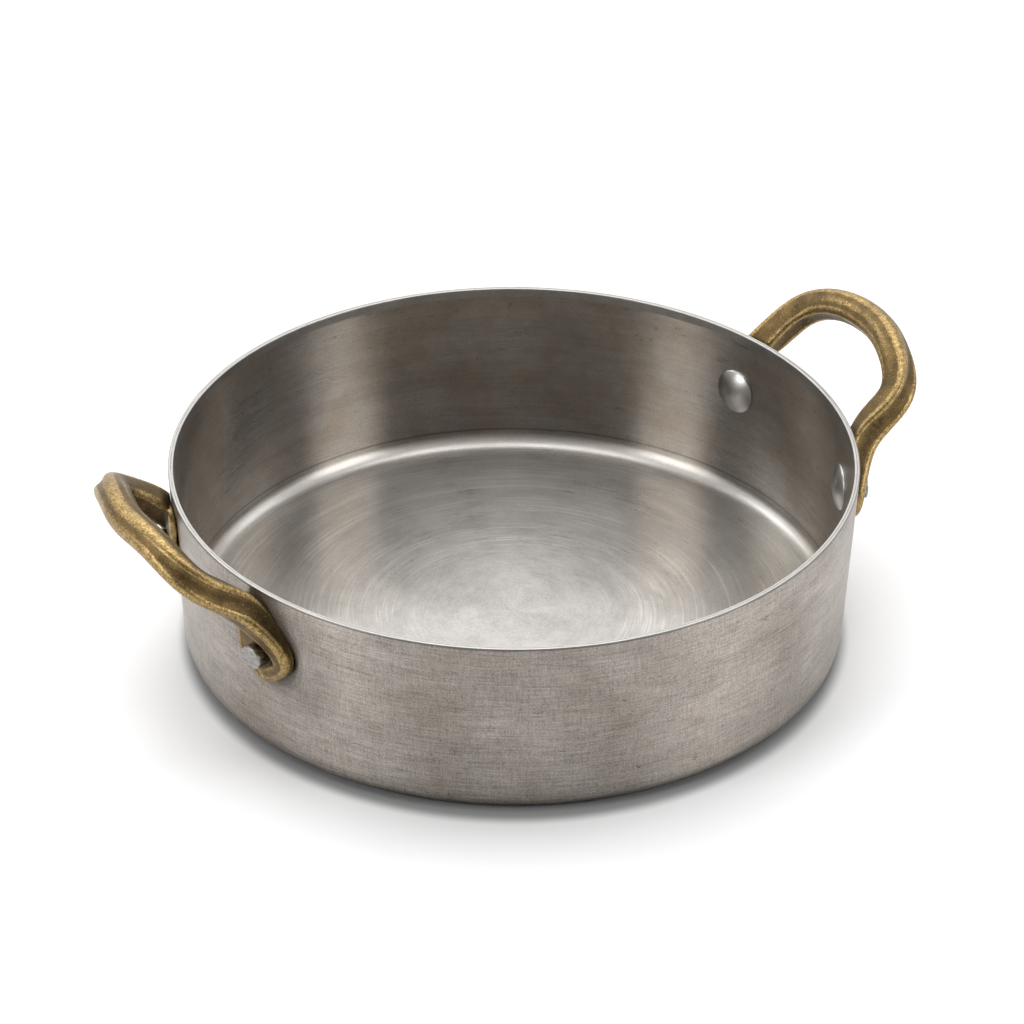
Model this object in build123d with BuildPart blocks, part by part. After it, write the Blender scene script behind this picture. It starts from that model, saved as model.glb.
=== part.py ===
from build123d import *
from math import asin, atan2, cos, degrees, radians, sin
import os

# A low round steel pan with two riveted brass loop handles. Origin on the pan's axis at the table,
# +Z up, handles along +X and -X. Millimetres.

# Pan body
rim_radius = 100.0
base_radius = 97.3
height = 56.3
wall = 1.6
floor_thickness = 2.4
inner_corner_radius = 4.5
outer_corner_radius = 4.5
rim_chamfer = 0.3

# Rivets: a low domed head inside the pan, a plain shank, and a tail that stands proud of the lug
rivet_drop = 19.5
rivet_pitch = 63.0
shank_radius = 3.6
head_radius = 6.9
head_edge = 0.5
head_dome = 1.9
tail_length = 6.0
tail_chamfer = 0.4
shank_clearance = 0.1

# Gap between the wall and what is riveted to it
seat_gap = 0.1

# Lug: a curved pad under each rivet
pad_thickness = 2.0
pad_radius = 9.6
pad_tip_radius = 3.5
pad_tip_across = -7.0
pad_tip_up = 9.5

# Loop: centre line of the cast bar, from one lug up and over to the other. Heights are above the rivets,
# and reaches are out from the wall there
grip_reach = 22.0
grip_rise = 33.3
grip_straight = 15.0
knuckle_drop = 0.9
knuckle_draw = 2.0
shoulder_reach = 13.2
shoulder_rise = 25.7
shoulder_inset = 3.6
root_across = -2.6
root_up = 13.8
root_lift = 1.6
hook_radius = 8.2
hook_sink = 0.6
hook_side_angle = -10.0
hook_end_angle = -78.0

# Bar sections, across by deep, with the radii of their back and front corners
grip_width = 9.2
grip_depth = 8.6
shoulder_width = 9.0
shoulder_depth = 8.4
root_width = 8.6
root_depth = 6.4
hook_width = 4.6
hook_depth = 4.1
hook_end_width = 3.0
hook_end_depth = 3.2
back_corner_share = 0.14
front_corner_share = 0.44

# Which way the bar's front faces: down and out at the grip, square off the wall at the lugs, and by
# these shares of the grip's way in between
grip_tilt = 40.0
shoulder_tilt_share = 0.8
root_tilt_share = 0.2

# The wall leans out, so its radius depends on the height
wall_lean = atan2(rim_radius - base_radius, height)


def wall_radius(z):
    return base_radius + (rim_radius - base_radius) * z / height


# Rivet axes: a set distance below the rim, and evenly either side of each handle's middle
rivet_height = height - rivet_drop
rivet_radius = wall_radius(rivet_height)
rivet_angle = degrees(asin(rivet_pitch / 2 / rivet_radius))
hole_radius = shank_radius + shank_clearance
drill_length = 2 * (tail_length + wall)
inner_floor_radius = wall_radius(floor_thickness) - wall


def wall_normal(angle):
    """Outward normal of the leaning wall at an angle round the pan, in degrees."""
    turn = radians(angle)
    return Vector(cos(turn) * cos(wall_lean), sin(turn) * cos(wall_lean), -sin(wall_lean))


def rivet_plane(angle):
    """Plane on the outside of the wall at a rivet, Z outward, Y up the wall."""
    turn = radians(angle)
    origin = (rivet_radius * cos(turn), rivet_radius * sin(turn), rivet_height)
    return Plane(origin=origin, x_dir=(-sin(turn), cos(turn), 0), z_dir=wall_normal(angle))


def rivet_profile_plane(angle):
    """Plane through a rivet's axis, with its Y along the axis and pointing outward."""
    seat = rivet_plane(angle)
    return Plane(origin=seat.origin, x_dir=seat.y_dir, z_dir=seat.y_dir.cross(seat.z_dir))


def head_arc_middle(edge):
    """Point halfway along the dome's arc, from the head's edge at this height to its crown."""
    sphere = (head_radius**2 + head_dome**2) / (2 * head_dome)
    turn = asin(head_radius / sphere) / 2
    return (sphere * sin(turn), edge - head_dome + sphere * (1 - cos(turn)))


# Pan body: one revolved section, then the four rivet holes
with BuildPart() as pan_body:
    with BuildSketch(Plane.XZ) as pan_section:
        with BuildLine():
            Polyline(
                (0, 0),
                (base_radius, 0),
                (rim_radius, height),
                (rim_radius - wall, height),
                (inner_floor_radius, floor_thickness),
                (0, floor_thickness),
                close=True,
            )
        make_face()
        fillet(pan_section.vertices().sort_by_distance((base_radius, 0))[0], outer_corner_radius)
        inner_corner = pan_section.vertices().sort_by_distance((inner_floor_radius, floor_thickness))[0]
        fillet(inner_corner, inner_corner_radius)
        chamfer(pan_section.vertices().group_by(Axis.Y)[-1], rim_chamfer)
    revolve(axis=Axis.Z)
    for handle_angle in (0, 180):
        for side in (1, -1):
            with Locations(rivet_plane(handle_angle + side * rivet_angle)):
                Cylinder(hole_radius, drill_length, mode=Mode.SUBTRACT)
pan_body.part.label = "pan_body"

# Wall with the seat gap on both faces, pierced for the rivets: what heads and lugs are shaped against
with BuildPart() as wall_and_gap:
    with BuildSketch(Plane.XZ):
        with BuildLine():
            Polyline(
                (wall_radius(0) - wall - seat_gap, 0),
                (wall_radius(0) + seat_gap, 0),
                (rim_radius + seat_gap, height),
                (rim_radius - wall - seat_gap, height),
                close=True,
            )
        make_face()
    revolve(axis=Axis.Z)
    for handle_angle in (0, 180):
        for side in (1, -1):
            with Locations(rivet_plane(handle_angle + side * rivet_angle)):
                Cylinder(hole_radius, drill_length, mode=Mode.SUBTRACT)


def lug_point(side, across, up, out):
    """Point beside a rivet: across away from the grip's middle, up the wall, and out from it."""
    z = rivet_height + up
    turn = side * (radians(rivet_angle) + across / rivet_radius)
    radius = wall_radius(z) + out
    return Vector(radius * cos(turn), radius * sin(turn), z)


def loop_stations():
    """Half of the bar, crest first: centre, width, depth, and how far the section lies as at the crest."""
    shoulder = rivet_pitch / 2 - shoulder_inset
    crest_x = rivet_radius + grip_reach
    crest_z = rivet_height + grip_rise
    hook_side = radians(hook_side_angle)
    hook_end = radians(hook_end_angle)
    return [
        (Vector(crest_x, 0, crest_z), grip_width, grip_depth, 1.0),
        (
            Vector(crest_x - knuckle_draw, grip_straight, crest_z - knuckle_drop),
            grip_width,
            grip_depth,
            1.0,
        ),
        (
            Vector(rivet_radius + shoulder_reach, shoulder, rivet_height + shoulder_rise),
            shoulder_width,
            shoulder_depth,
            shoulder_tilt_share,
        ),
        (
            lug_point(1, root_across, root_up, root_depth / 2 + root_lift),
            root_width,
            root_depth,
            root_tilt_share,
        ),
        (
            lug_point(
                1,
                hook_radius * cos(hook_side),
                hook_radius * sin(hook_side),
                hook_depth / 2 - hook_sink,
            ),
            hook_width,
            hook_depth,
            0.0,
        ),
        (
            lug_point(
                1,
                hook_radius * cos(hook_end),
                hook_radius * sin(hook_end),
                hook_end_depth / 2 - hook_sink,
            ),
            hook_end_width,
            hook_end_depth,
            0.0,
        ),
    ]


# Centre line of the bar, the -Y half mirrored from the +Y half
half_loop = loop_stations()
far_half = [(Vector(p.X, -p.Y, p.Z), *rest) for p, *rest in reversed(half_loop[1:])]
stations = far_half + half_loop
with BuildLine() as loop_line:
    Spline(*[station[0] for station in stations])
loop_edge = loop_line.edges()[0]


def bar_plane(t, crest_share):
    """Plane across the bar at a place on its centre line: X away from the opening, Y to its front."""
    point = loop_edge @ t
    along = loop_edge % t
    crest_front = Vector(sin(radians(grip_tilt)), 0, -cos(radians(grip_tilt)))
    on_wall = wall_normal(degrees(atan2(point.Y, point.X)))
    front = crest_front * crest_share + on_wall * (1 - crest_share)
    return Plane(origin=point, x_dir=front.cross(along), z_dir=along)


def bar_sections():
    """Every section of the bar in order: at each station, and halfway from each one to the next."""
    placed = [(loop_edge.param_at_point(point), *sizes) for point, *sizes in stations]
    sections = [placed[0]]
    for before, after in zip(placed, placed[1:]):
        sections.append(tuple((a + b) / 2 for a, b in zip(before, after)))
        sections.append(after)
    return sections


# Right handle: pads on the wall, then the bar lofted from lug to lug, trimmed to the wall and drilled
with BuildPart() as right_handle:
    for side in (1, -1):
        with BuildSketch(rivet_plane(side * rivet_angle)):
            Circle(pad_radius)
            with Locations((side * pad_tip_across, pad_tip_up)):
                Circle(pad_tip_radius)
            make_hull()
        extrude(amount=drill_length / 2, both=True)
    with BuildSketch(Plane.XZ):
        with BuildLine():
            Polyline(
                (wall_radius(0), 0),
                (wall_radius(0) + pad_thickness, 0),
                (rim_radius + pad_thickness, height),
                (rim_radius, height),
                close=True,
            )
        make_face()
    revolve(axis=Axis.Z, mode=Mode.INTERSECT)
    for t, width, depth, crest_share in bar_sections():
        corner = min(width, depth)
        with BuildSketch(bar_plane(t, crest_share)) as bar_section:
            Rectangle(width, depth)
            fillet(bar_section.vertices().group_by(Axis.Y)[0], back_corner_share * corner)
            fillet(bar_section.vertices().group_by(Axis.Y)[-1], front_corner_share * corner)
    loft()
    add(wall_and_gap.part, mode=Mode.SUBTRACT)
    for side in (1, -1):
        with Locations(rivet_plane(side * rivet_angle)):
            Cylinder(hole_radius, drill_length, mode=Mode.SUBTRACT)
right_handle.part.label = "right_handle"

# Left handle: the same casting, half a turn round the pan
with BuildPart() as left_handle:
    with Locations(Location((0, 0, 0), (0, 0, 180))):
        add(right_handle.part)
left_handle.part.label = "left_handle"

# Rivets: head and shank turned about each rivet's own axis, the head then shaped to the wall
rivet_angles = {
    "right_rear_rivet": rivet_angle,
    "right_front_rivet": -rivet_angle,
    "left_front_rivet": 180 + rivet_angle,
    "left_rear_rivet": 180 - rivet_angle,
}
rivets = []
head_seat = -wall / cos(wall_lean)
for name, angle in rivet_angles.items():
    with BuildPart() as rivet:
        with BuildSketch(rivet_profile_plane(angle)):
            with BuildLine():
                Polyline(
                    (0, tail_length),
                    (shank_radius - tail_chamfer, tail_length),
                    (shank_radius, tail_length - tail_chamfer),
                    (shank_radius, head_seat),
                    (head_radius, head_seat),
                    (head_radius, head_seat - head_edge),
                )
                ThreePointArc(
                    (head_radius, head_seat - head_edge),
                    head_arc_middle(head_seat - head_edge),
                    (0, head_seat - head_edge - head_dome),
                )
                Line((0, head_seat - head_edge - head_dome), (0, tail_length))
            make_face()
        revolve(axis=Axis(rivet_plane(angle).origin, rivet_plane(angle).z_dir))
        add(wall_and_gap.part, mode=Mode.SUBTRACT)
    rivet.part.label = name
    rivets.append(rivet)

print("rivet angle", round(rivet_angle, 2))

os.makedirs("parts", exist_ok=True)
for piece in (pan_body, right_handle, left_handle, *rivets):
    export_step(piece.part, f"parts/{piece.part.label}.step")
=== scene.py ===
"""Low round casserole dish: a brushed steel pan, two cast brass loop handles and four steel rivets.

The classes hold their sizes in millimetres and make their meshes in metres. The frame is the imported
model's: origin on the pan's axis at the table, +Z up, handles along +X and -X.
"""

from __future__ import annotations

import logging
import math
from dataclasses import astuple, dataclass, field
from enum import Enum
from typing import Sequence, Union

import bpy
import numpy as np
from mathutils import Matrix, Vector
from mathutils.kdtree import KDTree

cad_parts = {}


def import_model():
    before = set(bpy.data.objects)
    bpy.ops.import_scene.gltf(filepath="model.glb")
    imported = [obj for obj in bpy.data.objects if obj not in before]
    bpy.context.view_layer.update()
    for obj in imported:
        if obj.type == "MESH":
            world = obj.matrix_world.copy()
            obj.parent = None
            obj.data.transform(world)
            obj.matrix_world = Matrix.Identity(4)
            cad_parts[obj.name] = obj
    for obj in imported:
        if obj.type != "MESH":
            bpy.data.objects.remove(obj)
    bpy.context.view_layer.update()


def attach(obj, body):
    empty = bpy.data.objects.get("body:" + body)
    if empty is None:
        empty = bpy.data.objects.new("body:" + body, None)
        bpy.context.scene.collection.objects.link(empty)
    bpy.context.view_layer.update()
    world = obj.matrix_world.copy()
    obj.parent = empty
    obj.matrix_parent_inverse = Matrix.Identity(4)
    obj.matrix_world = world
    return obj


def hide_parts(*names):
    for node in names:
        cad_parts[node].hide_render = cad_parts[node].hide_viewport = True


log = logging.getLogger("casserole")

MM = 0.001
QUARTER_TURN = 0.25
AXIS_GUARD = 0.01  # keeps a direction from the axis from being divided by nothing
Pair = tuple[float, float]
Triple = tuple[float, float, float]
Colour = Triple
Value = Union["Wire", float, int, tuple]


class Wire:
    """A node's output socket, with arithmetic that adds Math nodes."""

    def __init__(self, bench: Bench, socket: bpy.types.NodeSocket) -> None:
        """Keeps the socket and the bench that it belongs to."""
        self.bench = bench
        self.socket = socket

    def _math(self, operation: str, *values: Value, clamp: bool = False) -> Wire:
        """Adds one Math node.

        Args:
            operation: The Math node's operation.
            values: What goes into its sockets, in order.
            clamp: Whether the result is held between 0 and 1.

        Returns:
            The node's output.
        """
        settings = {"operation": operation, "use_clamp": clamp}
        return self.bench.node("ShaderNodeMath", settings, dict(enumerate(values)))

    def __add__(self, other: Value) -> Wire:
        """Sum."""
        return self._math("ADD", self, other)

    __radd__ = __add__

    def __sub__(self, other: Value) -> Wire:
        """Difference."""
        return self._math("SUBTRACT", self, other)

    def __rsub__(self, other: Value) -> Wire:
        """Difference from the left."""
        return self._math("SUBTRACT", other, self)

    def __mul__(self, other: Value) -> Wire:
        """Product."""
        return self._math("MULTIPLY", self, other)

    __rmul__ = __mul__

    def __truediv__(self, other: Value) -> Wire:
        """Quotient."""
        return self._math("DIVIDE", self, other)

    def size(self) -> Wire:
        """Value without its sign."""
        return self._math("ABSOLUTE", self)

    def clamped(self) -> Wire:
        """Value held between 0 and 1."""
        return self._math("ADD", self, 0.0, clamp=True)

    def larger(self, other: Value) -> Wire:
        """The larger of the two."""
        return self._math("MAXIMUM", self, other)

    def smaller(self, other: Value) -> Wire:
        """The smaller of the two."""
        return self._math("MINIMUM", self, other)

    def span(self, other: Wire) -> Wire:
        """Length of the diagonal of this and the other."""
        return self._math("POWER", self * self + other * other, 0.5)

    def angle_over(self, other: Wire) -> Wire:
        """Angle whose tangent is this divided by the other, in radians."""
        return self._math("ARCTAN2", self, other)

    def swing(self, amount: float) -> Wire:
        """Distance from 0.5, the middle of a noise, times an amount."""
        return (self - 0.5) * amount

    def dimmed(self, *shares: Wire) -> Wire:
        """Takes shares off the value.

        Args:
            shares: The shares, each taken off what the last one left.

        Returns:
            What is left.
        """
        left = self
        for share in shares:
            left = left * (1.0 - share)
        return left

    def ramp(self, start: float, end: float) -> Wire:
        """Smooth step from 0 at start to 1 at end.

        Args:
            start: Where the result is 0.
            end: Where the result is 1; less than start turns the step round.

        Returns:
            A value from 0 to 1.
        """
        settings = {"interpolation_type": "SMOOTHSTEP", "clamp": True}
        low, high = sorted((start, end))
        sockets = {"Value": self, "From Min": low, "From Max": high}
        step = self.bench.node("ShaderNodeMapRange", settings, sockets)
        return step if start < end else 1.0 - step


class Bench:
    """A node tree under construction."""

    def __init__(self, tree: bpy.types.NodeTree) -> None:
        """Empties the tree and keeps it."""
        self.tree = tree
        tree.nodes.clear()

    def node(self, kind: str, settings: dict, sockets: dict, out: int | str = 0) -> Wire:
        """Adds a node.

        Args:
            kind: The node's type.
            settings: Its properties, set first.
            sockets: Values or wires for its inputs, by name or index.
            out: The output to hand back.

        Returns:
            That output.
        """
        made = self.tree.nodes.new(kind)
        for name, setting in settings.items():
            setattr(made, name, setting)
        for name, value in sockets.items():
            target = made.inputs[name]
            if isinstance(value, Wire):
                self.tree.links.new(value.socket, target)
            elif isinstance(value, tuple) and target.type == "RGBA":
                target.default_value = (*value, 1.0)
            else:
                target.default_value = value
        return Wire(self, made.outputs[out] if made.outputs else None)

    def vector(self, x: Value, y: Value, z: Value) -> Wire:
        """Vector of three values."""
        return self.node("ShaderNodeCombineXYZ", {}, {0: x, 1: y, 2: z})

    def vector_math(self, operation: str, sockets: dict, out: str = "Vector") -> Wire:
        """Adds one Vector Math node."""
        return self.node("ShaderNodeVectorMath", {"operation": operation}, sockets, out)

    def cells(self, place: Wire, scale: float) -> Wire:
        """Distance to the nearest of scattered points, in cells."""
        sockets = {"Vector": place, "Scale": scale}
        return self.node("ShaderNodeTexVoronoi", {"feature": "F1"}, sockets)

    def mix(self, share: Wire, first: Value, second: Value) -> Wire:
        """Colour between two, by share of the second, held between 0 and 1."""
        sockets = {0: share.clamped(), 6: first, 7: second}
        return self.node("ShaderNodeMix", {"data_type": "RGBA"}, sockets, out=2)

    def tint(self, colour: Value, strength: Value) -> Wire:
        """Colour made lighter or darker by a number."""
        return self.vector_math("SCALE", {0: colour, "Scale": strength})

    def spot(self) -> Spot:
        """Finds the shaded point.

        Returns:
            The point, in millimetres in the object's frame.
        """
        local = self.node("ShaderNodeTexCoord", {}, {}, out="Object")
        vector = self.vector_math("SCALE", {0: local, "Scale": 1 / MM})
        x, y, z = (self.node("ShaderNodeSeparateXYZ", {}, {0: vector}, out=i) for i in range(3))
        return Spot(vector, x, y, z, x.span(y))

    def attribute(self, name: str) -> Wire:
        """A number stored on the mesh's points."""
        return self.node("ShaderNodeAttribute", {"attribute_name": name}, {}, out="Fac")

    def bump(self, height: Wire, distance: float) -> Wire:
        """Normal bent by a relief from 0 to 1, whose whole depth is a distance in millimetres."""
        sockets = {"Height": height, "Distance": distance * MM, "Strength": 1.0}
        return self.node("ShaderNodeBump", {}, sockets)

    def close(self, shader: Wire) -> None:
        """Links the shader to the tree's output."""
        self.node("ShaderNodeOutputMaterial", {}, {"Surface": shader})


@dataclass(frozen=True)
class Spot:
    """The shaded point: as a vector, by its parts, and by its distance from the pan's axis."""

    vector: Wire
    x: Wire
    y: Wire
    z: Wire
    radius: Wire

    def around(self, run: Wire) -> Wire:
        """Vector of the point's direction from the axis and what runs across the brushing."""
        level = self.radius + AXIS_GUARD
        return run.bench.vector(self.x / level, self.y / level, run)


@dataclass(frozen=True)
class Noise:
    """A noise over the surface and what it does there.

    It has a scale per millimetre, a stretch and a shift along each axis, and its octaves and their
    roughness. It swings the surface's shade and its blur, and has a share of its relief.
    """

    scale: float = 1.0
    stretch: Triple = (1.0, 1.0, 1.0)
    shift: Triple = (0.0, 0.0, 0.0)
    detail: float = 2.0
    rough: float = 0.5
    shade: float = 0.0
    blur: float = 0.0
    relief: float = 0.0

    def at(self, place: Wire) -> Wire:
        """Looks the noise up.

        Args:
            place: Where, as a vector.

        Returns:
            A value from 0 to 1, about 0.5 on average.
        """
        moved = place.bench.vector_math("MULTIPLY_ADD", {0: place, 1: self.stretch, 2: self.shift})
        sockets = {"Vector": moved, "Scale": self.scale}
        sockets.update({"Detail": self.detail, "Roughness": self.rough})
        return place.bench.node("ShaderNodeTexNoise", {"noise_dimensions": "3D"}, sockets)


def layers_at(place: Wire, *noises: Noise) -> dict[Noise, Wire]:
    """Each noise with its value at a place."""
    return {noise: noise.at(place) for noise in noises}


@dataclass(frozen=True)
class Step:
    """A mark that starts at one value of a measure and has its full strength from another on."""

    start: float
    full: float
    strength: float = 1.0

    def over(self, measure: Wire) -> Wire:
        """The mark's strength at a measure."""
        return measure.ramp(self.start, self.full) * self.strength


@dataclass(frozen=True)
class Line:
    """A soft line, full at one value of a measure and gone at half its width from there."""

    middle: float
    half: float
    strength: float = 1.0

    def over(self, measure: Wire) -> Wire:
        """The line's strength at a measure."""
        return (measure - self.middle).size().ramp(self.half, 0.0) * self.strength


@dataclass(frozen=True)
class Patches:
    """Marks that show where one noise is past its cut and another past its cover."""

    cut: Pair
    cover: Pair

    def over(self, marks: Wire, ground: Wire) -> Wire:
        """The marks' strength, by the noise that draws them and the one that spreads them."""
        return marks.ramp(*self.cut) * ground.ramp(*self.cover)


@dataclass(frozen=True)
class Finish:
    """A surface finish, made into a material on demand."""

    name: str

    def material(self) -> bpy.types.Material:
        """Makes the material.

        Returns:
            The new material.
        """
        made = bpy.data.materials.new(self.name)
        made.use_nodes = True
        self.paint(Bench(made.node_tree))
        return made

    def paint(self, bench: Bench) -> None:
        """Builds the finish's nodes.

        Args:
            bench: The tree that they go into.
        """
        raise NotImplementedError


@dataclass(frozen=True)
class Metal(Finish):
    """A metal: its middle shade and roughness, its relief in millimetres, and its brushing.

    Where it is brushed, it blurs farther up and down than round the Z axis.
    """

    level: float = 1.0
    rough: float = 0.4
    relief: float = 0.02
    brushed: float = 0.0

    def sums(self, layers: dict[Noise, Wire]) -> tuple[Wire, Wire, Wire]:
        """What its noises do to it together.

        Args:
            layers: Each noise with its value.

        Returns:
            Its shade, its roughness and its relief.
        """
        shade, rough, relief = self.level, self.rough, 0.0
        for noise, value in layers.items():
            if noise.shade:
                shade = shade + value.swing(noise.shade)
            if noise.blur:
                rough = rough + value.swing(noise.blur)
            if noise.relief:
                relief = relief + value * noise.relief
        return shade, rough, relief

    def close(self, colour: Value, shade: Wire, rough: Wire, relief: Wire) -> None:
        """Closes the tree with the metal.

        Args:
            colour: Its colour at a shade of 1.
            shade: How light it is.
            rough: Its roughness.
            relief: Its relief, from 0 to 1.
        """
        bench = shade.bench
        sockets = {
            "Base Color": bench.tint(colour, shade),
            "Roughness": rough,
            "Normal": bench.bump(relief, self.relief),
            "Metallic": 1.0,
            "Anisotropic": self.brushed,
            "Anisotropic Rotation": QUARTER_TURN if self.brushed else 0.0,
        }
        bench.close(bench.node("ShaderNodeBsdfPrincipled", {}, sockets))


@dataclass(frozen=True)
class BrushedInside(Metal):
    """Pan's inside: brushed round its axis, with worn arcs on the floor and a browned wall."""

    steel: Colour = (0.385, 0.367, 0.345)
    browned: Colour = (0.305, 0.266, 0.224)
    level: float = 0.93
    rough: float = 0.29
    relief: float = 0.004
    brushed: float = 0.86
    hair: Noise = Noise(
        stretch=(5.0, 5.0, 2.4), detail=3.0, rough=0.65, shade=0.30, blur=0.08, relief=0.6
    )
    line: Noise = Noise(stretch=(8.0, 8.0, 0.8), shift=(7.0, 0.0, 0.0), shade=0.22, relief=0.4)
    broad: Noise = Noise(stretch=(2.2, 2.2, 0.16), shift=(0.0, 3.0, 0.0), shade=0.34)
    grain: Noise = Noise(2.4, detail=3.0, rough=0.7, shade=0.8)
    cloud: Noise = Noise(0.045, detail=3.0, rough=0.55, blur=0.10)
    blotch: Noise = Noise(0.16, detail=5.0, rough=0.65, shade=0.30)
    drip: Noise = Noise(0.42, (0.9, 0.9, 1.5), detail=4.0, rough=0.7)
    arc_line: Noise = Noise(stretch=(1.7, 1.7, 1.6), shift=(-3.0, 0.0, 0.0))
    arcs: Patches = Patches((0.50, 0.70), (0.30, 0.56))
    arc_reach: Step = Step(18.0, 44.0, 0.26)
    # painted light: the floor is made lighter from its middle outward
    floor_painted_light: Step = Step(30.0, 84.0, 0.20)
    # painted light: the wall is made lighter towards the rim, standing in for the overhead light
    # falling there
    wall_painted_light: Step = Step(22.0, 50.0, 0.22)
    wall_foot: Step = Step(3.0, 8.0)
    browning: float = 0.42
    browning_cloud: Step = Step(0.40, 0.64, 0.5)
    corner: Line = Line(4.4, 2.0)
    # painted highlight: the band along the inner corner is made lighter, standing in for the overhead
    # light's glint there
    corner_painted_highlight: float = 0.5
    corner_blur: float = 0.12
    foot_line: Line = Line(7.6, 0.55, 0.42)
    pit_scale: float = 0.34
    pits: Patches = Patches((0.10, 0.05), (0.52, 0.66))
    pit_shade: float = 0.5
    stains: Patches = Patches((0.58, 0.70), (0.44, 0.60))
    stain_height: Step = Step(36.0, 48.0)
    stain_browning: float = 0.45
    stain_shade: float = 0.32

    def paint(self, bench: Bench) -> None:
        """Builds the finish's nodes.

        Args:
            bench: The tree that they go into.
        """
        spot = bench.spot()
        z, radius = spot.z, spot.radius
        layers = layers_at(spot.around(radius + z), self.hair, self.line, self.broad)
        layers |= layers_at(spot.vector, self.grain, self.cloud, self.blotch, self.drip)
        cloud = layers[self.cloud]
        on_wall, corner = self.wall_foot.over(z), self.corner.over(z)
        arcs = self.arcs.over(self.arc_line.at(spot.around(radius)), layers[self.broad])
        pits = self.pits.over(bench.cells(spot.vector, self.pit_scale), layers[self.blotch])
        stains = self.stains.over(layers[self.drip], cloud) * self.stain_height.over(z)
        browning = on_wall * (self.browning + self.browning_cloud.over(cloud))
        colour = bench.mix(browning + stains * self.stain_browning, self.steel, self.browned)
        shade, rough, relief = self.sums(layers)
        # worn arcs, and painted light on the outer floor
        on_floor = arcs * self.arc_reach.over(radius) + self.floor_painted_light.over(radius)
        # painted light on the upper wall
        shade = shade + on_floor * (1.0 - on_wall) + self.wall_painted_light.over(z)
        # painted highlight along the inner corner; pits, stains and the foot line make it darker
        shade = (shade + corner * self.corner_painted_highlight).dimmed(
            pits * self.pit_shade, stains * self.stain_shade, self.foot_line.over(z)
        )
        self.close(colour, shade, rough + corner * self.corner_blur, relief)


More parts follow.
